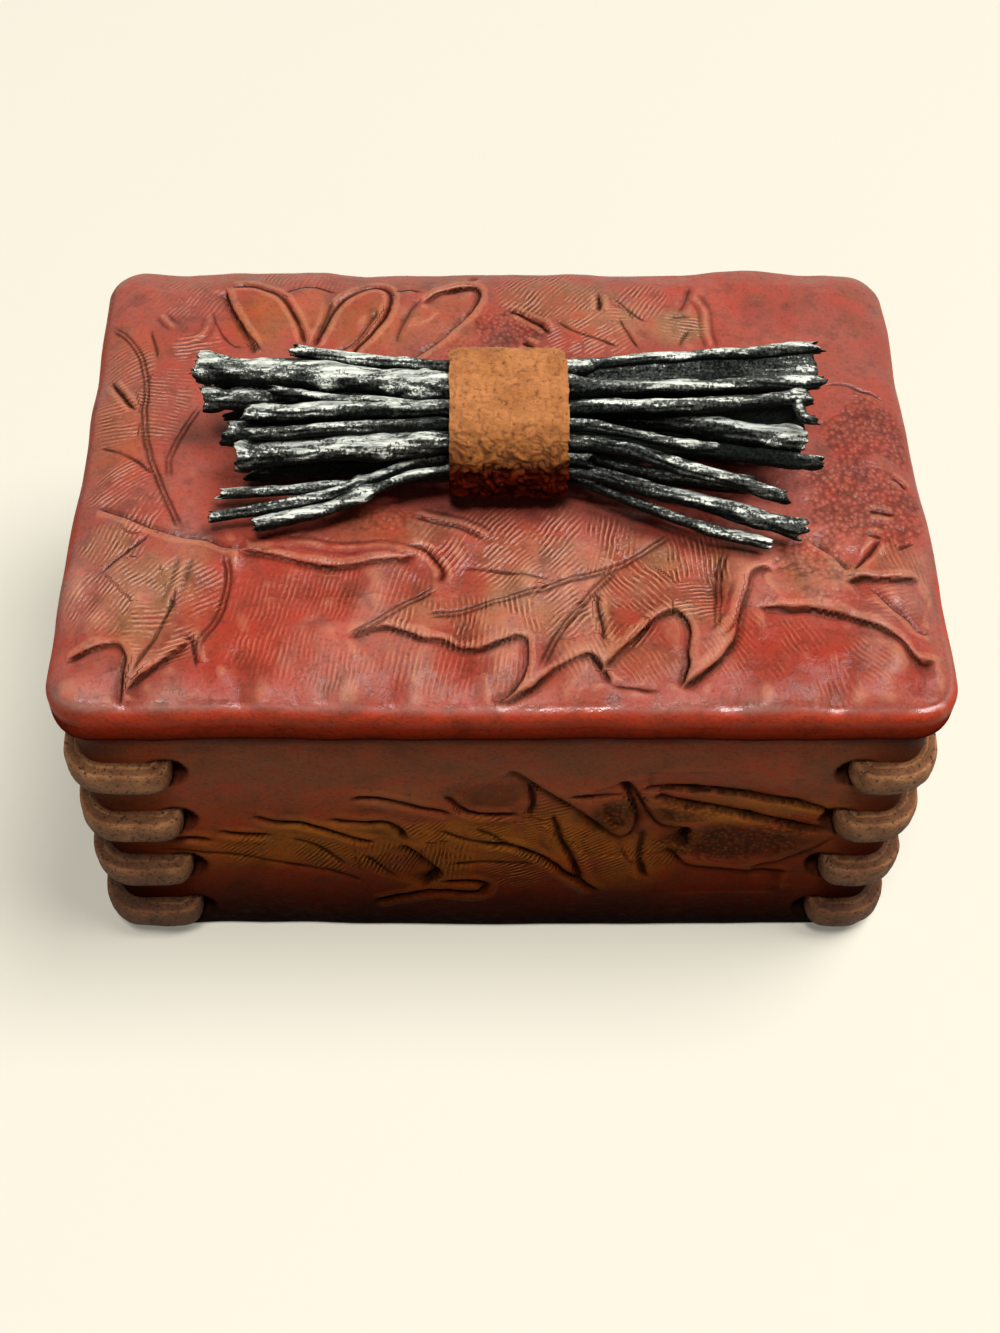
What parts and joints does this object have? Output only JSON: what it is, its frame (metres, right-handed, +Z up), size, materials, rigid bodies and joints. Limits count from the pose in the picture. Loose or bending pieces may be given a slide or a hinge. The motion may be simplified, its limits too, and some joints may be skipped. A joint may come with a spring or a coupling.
{
  "type": "lidded trinket box",
  "caption": "Rectangular trinket box with leather-laced corners, tooled leaf pattern and a lift-off lid whose handle is a bundle of twigs tied with a leather band.",
  "frame": {"origin": "centre of the underside, on the surface that the box stands on", "axes": "+X along the box's length, towards the right as seen from the front; +Y towards the back; +Z up"},
  "size_m": [0.1014, 0.0716, 0.0674],
  "materials": {
    "body_resin": "satin painted resin, tooled leather look, dark red-brown",
    "lid_resin": "satin painted resin, tooled leather look, muted red with brown and orange",
    "lace_leather": "waxed brown thong, pitted",
    "twig_bark": "black, dry-brushed with silver",
    "band_leather": "rough orange-brown suede"
  },
  "bodies": {
    "box": {"box_body": "body_resin", "lace_front_left_1": "lace_leather", "lace_front_left_2": "lace_leather", "lace_front_left_3": "lace_leather", "lace_front_left_4": "lace_leather", "lace_front_right_1": "lace_leather", "lace_front_right_2": "lace_leather", "lace_front_right_3": "lace_leather", "lace_front_right_4": "lace_leather", "lace_back_left_1": "lace_leather", "lace_back_left_2": "lace_leather", "lace_back_left_3": "lace_leather", "lace_back_left_4": "lace_leather", "lace_back_right_1": "lace_leather", "lace_back_right_2": "lace_leather", "lace_back_right_3": "lace_leather", "lace_back_right_4": "lace_leather"},
    "lid": {"lid": "lid_resin", "twig_01": "twig_bark", "twig_02": "twig_bark", "twig_03": "twig_bark", "twig_04": "twig_bark", "twig_05": "twig_bark", "twig_06": "twig_bark", "twig_07": "twig_bark", "twig_08": "twig_bark", "twig_09": "twig_bark", "twig_10": "twig_bark", "twig_11": "twig_bark", "twig_12": "twig_bark", "twig_13": "twig_bark", "twig_14": "twig_bark", "twig_15": "twig_bark", "twig_16": "twig_bark", "twig_17": "twig_bark", "twig_18": "twig_bark", "tie_band": "band_leather"}
  },
  "joints": [
    {"name": "lid_lift", "type": "slide", "parent": "box", "child": "lid", "axis": [0, 0, 1], "range_m": [0, 0.06]}
  ]
}
